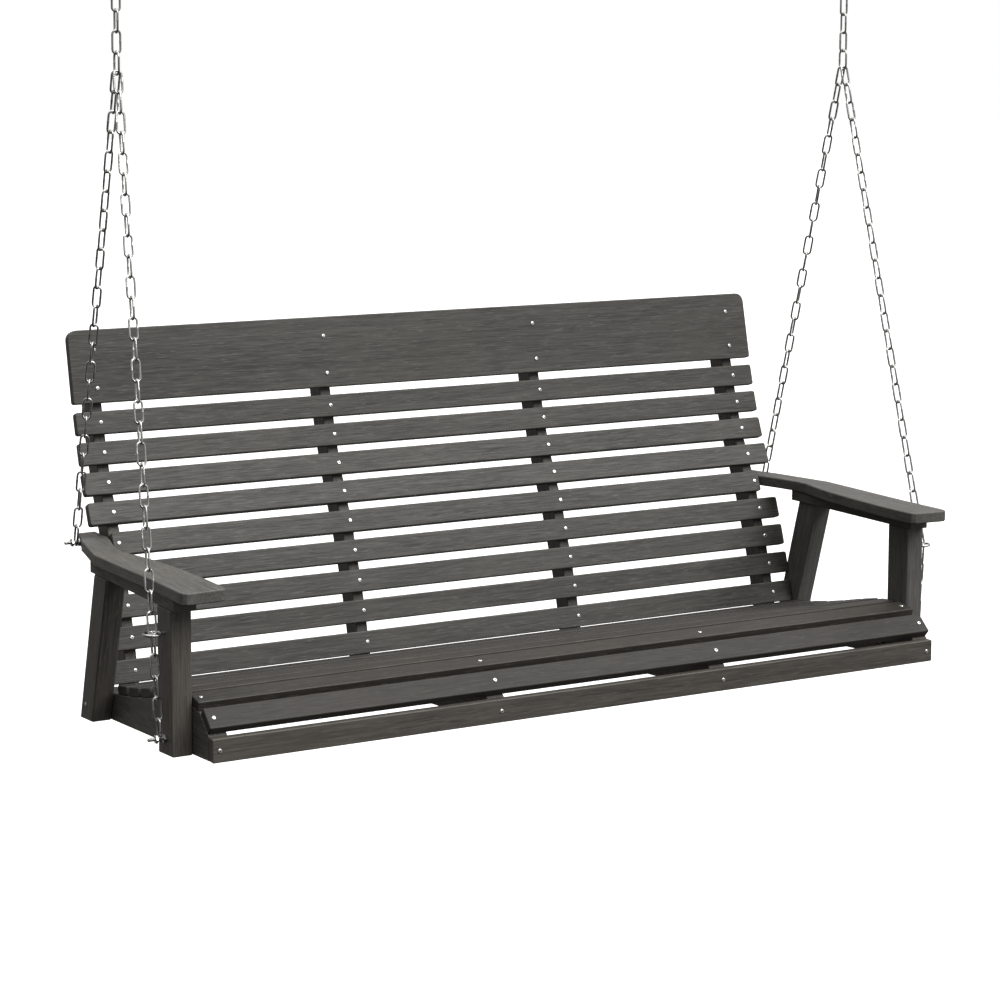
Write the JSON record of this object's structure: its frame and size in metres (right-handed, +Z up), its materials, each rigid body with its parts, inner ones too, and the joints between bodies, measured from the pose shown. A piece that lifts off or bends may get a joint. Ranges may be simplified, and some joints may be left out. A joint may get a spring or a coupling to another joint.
{
  "type": "porch swing",
  "caption": "Slatted porch swing bench with a tall curved back, a sloping seat and flat arms, hung on link chains from two ceiling hangers.",
  "frame": {"origin": "on the ceiling plane, midway between the two hangers", "axes": "+X along the seat to the right of someone facing the swing, +Y to the back, +Z up"},
  "size_m": [1.55, 0.6803, 1.349],
  "materials": {
    "back_board": "brushed wood-grain poly lumber, weathered grey",
    "seat_board": "brushed wood-grain poly lumber, weathered grey",
    "arm_board": "brushed wood-grain poly lumber, weathered grey",
    "frame_board": "brushed wood-grain poly lumber, weathered grey",
    "chain_zinc": "bright zinc plate",
    "bolt_zinc": "bright zinc plate",
    "hanger_steel": "satin zinc plate"
  },
  "bodies": {
    "hangers": {"ceiling_hanger_left": "hanger_steel", "ceiling_hanger_right": "hanger_steel"},
    "upper_chains": {"chain_upper_left": "chain_zinc", "chain_upper_right": "chain_zinc"},
    "bench": {"arm_plate_left": "frame_board", "arm_plate_right": "frame_board", "armrest_left": "arm_board", "armrest_right": "arm_board", "back_slat_1": "back_board", "back_slat_2": "back_board", "back_slat_3": "back_board", "back_slat_4": "back_board", "back_slat_5": "back_board", "back_slat_6": "back_board", "back_slat_7": "back_board", "back_slat_8": "back_board", "back_slat_9": "back_board", "back_slat_top": "back_board", "chain_front_left": "chain_zinc", "chain_front_right": "chain_zinc", "chain_rear_left": "chain_zinc", "chain_rear_right": "chain_zinc", "front_bolt_nut_inner_left": "bolt_zinc", "front_bolt_nut_inner_right": "bolt_zinc", "front_bolt_nut_outer_left": "bolt_zinc", "front_bolt_nut_outer_right": "bolt_zinc", "front_chain_bolt_left": "bolt_zinc", "front_chain_bolt_right": "bolt_zinc", "front_post_left": "frame_board", "front_post_right": "frame_board", "guide_eye_bolt_left": "bolt_zinc", "guide_eye_bolt_right": "bolt_zinc", "rear_bolt_nut_inner_left": "bolt_zinc", "rear_bolt_nut_inner_right": "bolt_zinc", "rear_bolt_nut_outer_left": "bolt_zinc", "rear_bolt_nut_outer_right": "bolt_zinc", "rear_chain_bolt_left": "bolt_zinc", "rear_chain_bolt_right": "bolt_zinc", "rear_post_left": "frame_board", "rear_post_right": "frame_board", "seat_apron": "seat_board", "seat_nose_slat": "seat_board", "seat_slat_1": "seat_board", "seat_slat_2": "seat_board", "seat_slat_3": "seat_board", "seat_slat_4": "seat_board", "seat_slat_5": "seat_board", "seat_slat_6": "seat_board", "seat_slat_7": "seat_board", "seat_support_inner_left": "frame_board", "seat_support_inner_right": "frame_board", "seat_support_outer_left": "frame_board", "seat_support_outer_right": "frame_board", "upright_inner_left": "frame_board", "upright_inner_right": "frame_board", "upright_outer_left": "frame_board", "upright_outer_right": "frame_board"}
  },
  "joints": [
    {"name": "chain_swing", "type": "hinge", "parent": "hangers", "child": "upper_chains", "pos_m": [0, 0, -0.047], "axis": [1, 0, 0], "range_deg": [-25, 25]},
    {"name": "seat_tilt", "type": "hinge", "parent": "upper_chains", "child": "bench", "pos_m": [0, 0, -0.2485], "axis": [1, 0, 0], "range_deg": [-8, 8]}
  ]
}
